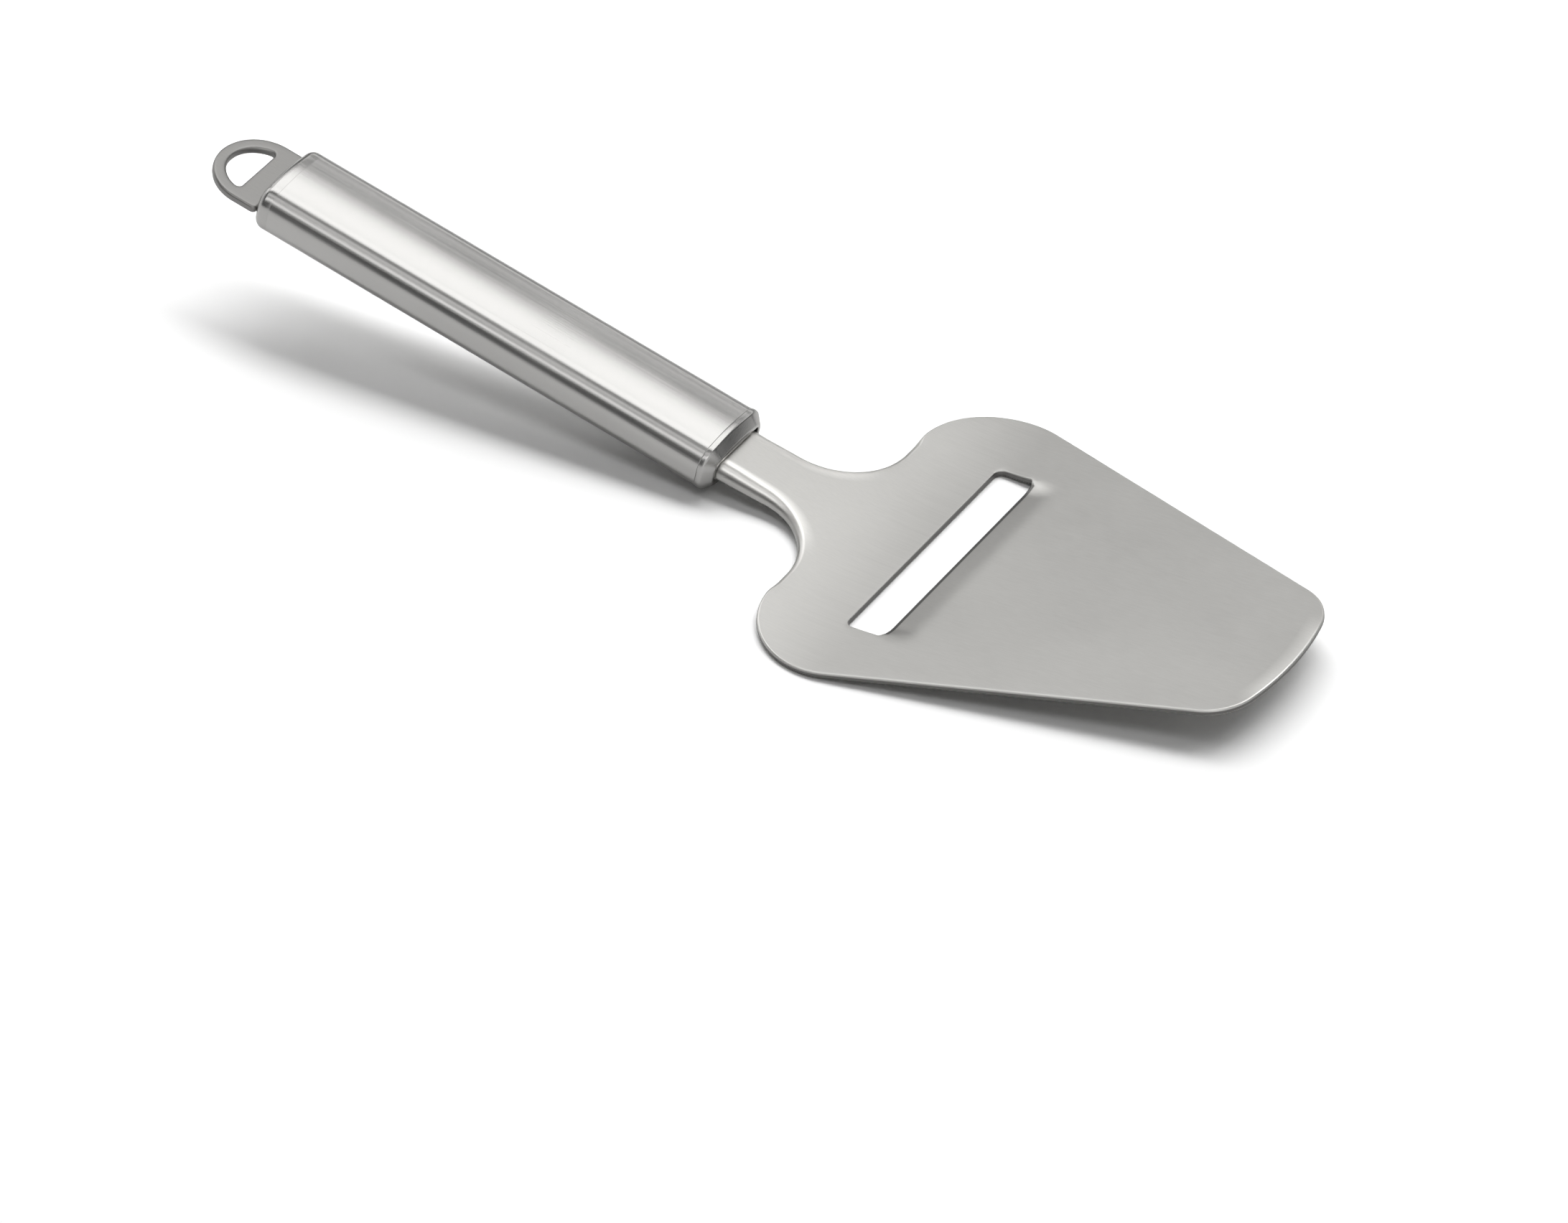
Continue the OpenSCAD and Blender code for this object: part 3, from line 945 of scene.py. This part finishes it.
class SLICER_OT_stage(bpy.types.Operator):
    """Set the floor, the lights and the camera of a pale product studio"""

    bl_idname = "slicer.stage"
    bl_label = "Studio"
    bl_options = {"REGISTER", "UNDO"}

    def execute(self, context):
        scene = context.scene
        scene.view_settings.view_transform = "Standard"
        self.floor(scene)
        self.lights(scene)
        self.room(scene)
        self.camera(scene)
        return {"FINISHED"}

    def floor(self, scene):
        """A matt white table top, wide enough for every view."""
        mesh = bpy.data.meshes.new("floor")
        far = 6
        corners = [(-far, -far, 0), (far, -far, 0), (far, far, 0), (-far, far, 0)]
        mesh.from_pydata(corners, [], [(0, 1, 2, 3)])
        floor = bpy.data.objects.new("floor", mesh)
        scene.collection.objects.link(floor)
        material = bpy.data.materials.new("matt_white_table")
        material.use_nodes = True
        tree = material.node_tree
        tree.nodes.clear()
        # The room sees the matt white top. The steel sees a clean one, and the camera one that
        # is lighter than white, because the lamps alone would leave it grey. For both it turns
        # into a plain white sweep away from the slicer, where the lamps fall off.
        path = add(tree, "ShaderNodeLightPath")
        place = add(tree, "ShaderNodeTexCoord").outputs["Object"]
        away = add(tree, "ShaderNodeVectorMath", operation="LENGTH", sockets={0: place})
        rise = add(
            tree, "ShaderNodeMapRange",
            {"Value": away.outputs["Value"], "From Min": 600 * MM, "From Max": 1400 * MM},
        )
        sweep = add(tree, "ShaderNodeEmission", {"Color": (1, 1, 1, 1), "Strength": 1})
        shown = add(tree, "ShaderNodeBsdfDiffuse", {"Color": (*scene.slicer_finish.floor, 1)})
        clean, lifted = 0.95, 1.36
        for seen, gain in (
            ("Is Glossy Ray", clean), ("Is Transmission Ray", clean), ("Is Camera Ray", lifted),
        ):
            near = add(tree, "ShaderNodeBsdfDiffuse", {"Color": (gain, gain, gain, 1)})
            white = add(
                tree, "ShaderNodeMixShader",
                {0: rise.outputs[0], 1: near.outputs[0], 2: sweep.outputs[0]},
            )
            shown = add(
                tree, "ShaderNodeMixShader",
                {0: path.outputs[seen], 1: shown.outputs[0], 2: white.outputs[0]},
            )
        add(tree, "ShaderNodeOutputMaterial", {"Surface": shown.outputs[0]})
        mesh.materials.append(material)

    def lights(self, scene):
        """Long softboxes side by side over the slicer."""
        distance = 1.8
        # name, direction from the slicer, length and width in metres, radiance
        boxes = [
            ("near_card", (0, -0.643, 0.766), (2.5, 0.49), 1.8),
            ("top_softbox", (0, -0.259, 0.966), (2.5, 0.49), 1.05),
            ("far_softbox", (0, 0.469, 0.883), (2.5, 0.96), 2.05),
            ("low_softbox", (0, 0.906, 0.423), (2.5, 0.49), 1.2),
            ("left_softbox", (-0.755, 0.352, 0.553), (1.05, 1.05), 1.05),
            ("key_lamp", (-0.1, 0.34, 0.935), (2, 0.5), 3.3),
        ]
        for name, way, size, radiance in boxes:
            data = bpy.data.lights.new(name, "AREA")
            data.shape = "RECTANGLE"
            data.size, data.size_y = size
            data.energy = radiance * pi * size[0] * size[1]
            box = bpy.data.objects.new(name, data)
            scene.collection.objects.link(box)
            # the card by the camera only shows in the steel, and the key lamp, which draws
            # the shadow on the floor, doesn't
            box.visible_diffuse = name != "near_card"
            box.visible_glossy = name != "key_lamp"
            way = Vector(way).normalized()
            up = way.cross(Vector((1, 0, 0))).normalized()
            across = up.cross(way).normalized()
            box.matrix_world = (
                Matrix.Translation(way * distance)
                @ Matrix((across, up, way)).transposed().to_4x4()
            )

    def room(self, scene):
        """A dim room whose two white end walls show in the steel, and white for the camera."""
        world = bpy.data.worlds.new("room")
        scene.world = world
        world.use_nodes = True
        tree = world.node_tree
        tree.nodes.clear()
        dim, bright = 0.08, 0.75
        place = add(tree, "ShaderNodeTexCoord").outputs["Generated"]
        walls = []
        # each wall's direction, and how near to it the wall starts and is full, as a cosine
        for side, start, end in (((0.85, -0.53, 0), 0.4, 0.75), ((-1, 0, 0), 0.72, 0.95)):
            toward = add(
                tree, "ShaderNodeVectorMath", operation="DOT_PRODUCT", sockets={0: place, 1: side}
            )
            wall = add(
                tree, "ShaderNodeMapRange",
                {
                    "Value": toward.outputs["Value"], "From Min": start, "From Max": end,
                    "To Min": dim, "To Max": bright,
                },
            )
            walls.append(wall.outputs[0])
        wall = add(tree, "ShaderNodeMath", operation="MAXIMUM", sockets={0: walls[0], 1: walls[1]})
        path = add(tree, "ShaderNodeLightPath")
        level = add(
            tree, "ShaderNodeMix",
            {"Factor": path.outputs["Is Glossy Ray"], "A": dim, "B": wall.outputs[0]},
        )
        level = add(
            tree, "ShaderNodeMix",
            {"Factor": path.outputs["Is Camera Ray"], "A": level.outputs[0], "B": 1},
        )
        around = add(
            tree, "ShaderNodeBackground", {"Color": (1, 1, 1, 1), "Strength": level.outputs[0]}
        )
        add(tree, "ShaderNodeOutputWorld", {"Surface": around.outputs[0]})

    def camera(self, scene):
        """The photograph's view: from the blade's right, 40 degrees over the table."""
        data = bpy.data.cameras.new("photo_view")
        # the lens is as long as 12433.4 pixels of the photograph, which is 2184 of them wide
        lens_pixels, photo_pixels = 12433.4, 2184
        data.sensor_fit = "HORIZONTAL"
        data.sensor_width = 36
        data.lens = 36 * lens_pixels / photo_pixels
        azimuth, elevation = radians(32.6215), radians(39.7278)
        aim, distance = Vector((0.025779, -0.0269593, 0)), 1.55621
        back = Vector(
            (sin(azimuth) * cos(elevation), -cos(azimuth) * cos(elevation), sin(elevation))
        )
        camera = bpy.data.objects.new("photo_view", data)
        scene.collection.objects.link(camera)
        camera.location = aim + distance * back
        camera.rotation_mode = "QUATERNION"
        camera.rotation_quaternion = (-back).to_track_quat("-Z", "Y")
        data.clip_start, data.clip_end = 0.05, 30
        scene.camera = camera


class SLICER_PT_panel(bpy.types.Panel):
    """Sizes, colours and makers of the slicer"""

    bl_label = "Cheese Slicer"
    bl_idname = "SLICER_PT_panel"
    bl_space_type = "VIEW_3D"
    bl_region_type = "UI"
    bl_category = "Slicer"

    def draw(self, context):
        layout = self.layout
        for maker in MAKERS:
            layout.operator(maker.bl_idname)
        for group in (*sizes(), context.scene.slicer_finish):
            box = layout.box()
            for key in group.bl_rna.properties.keys():
                if key not in ("rna_type", "name"):
                    box.prop(group, key)


GROUPS = (SlicerBladeSizes, SlicerHandleSizes, SlicerFinishes)
MAKERS = (
    SLICER_OT_blade,
    SLICER_OT_tube,
    SLICER_OT_caps,
    SLICER_OT_loop,
    SLICER_OT_plugs,
    SLICER_OT_stage,
)


def register():
    for cls in (*GROUPS, *MAKERS, SLICER_PT_panel):
        bpy.utils.register_class(cls)
    bpy.types.Scene.slicer_blade = PointerProperty(type=SlicerBladeSizes)
    bpy.types.Scene.slicer_handle = PointerProperty(type=SlicerHandleSizes)
    bpy.types.Scene.slicer_finish = PointerProperty(type=SlicerFinishes)


def unregister():
    del bpy.types.Scene.slicer_finish
    del bpy.types.Scene.slicer_handle
    del bpy.types.Scene.slicer_blade
    for cls in reversed((*GROUPS, *MAKERS, SLICER_PT_panel)):
        bpy.utils.unregister_class(cls)


def main():
    register()
    bpy.ops.slicer.blade()
    bpy.ops.slicer.tube()
    bpy.ops.slicer.caps()
    bpy.ops.slicer.loop()
    bpy.ops.slicer.plugs()
    bpy.ops.slicer.stage()
    bpy.context.view_layer.update()


if __name__ == "__main__":
    main()
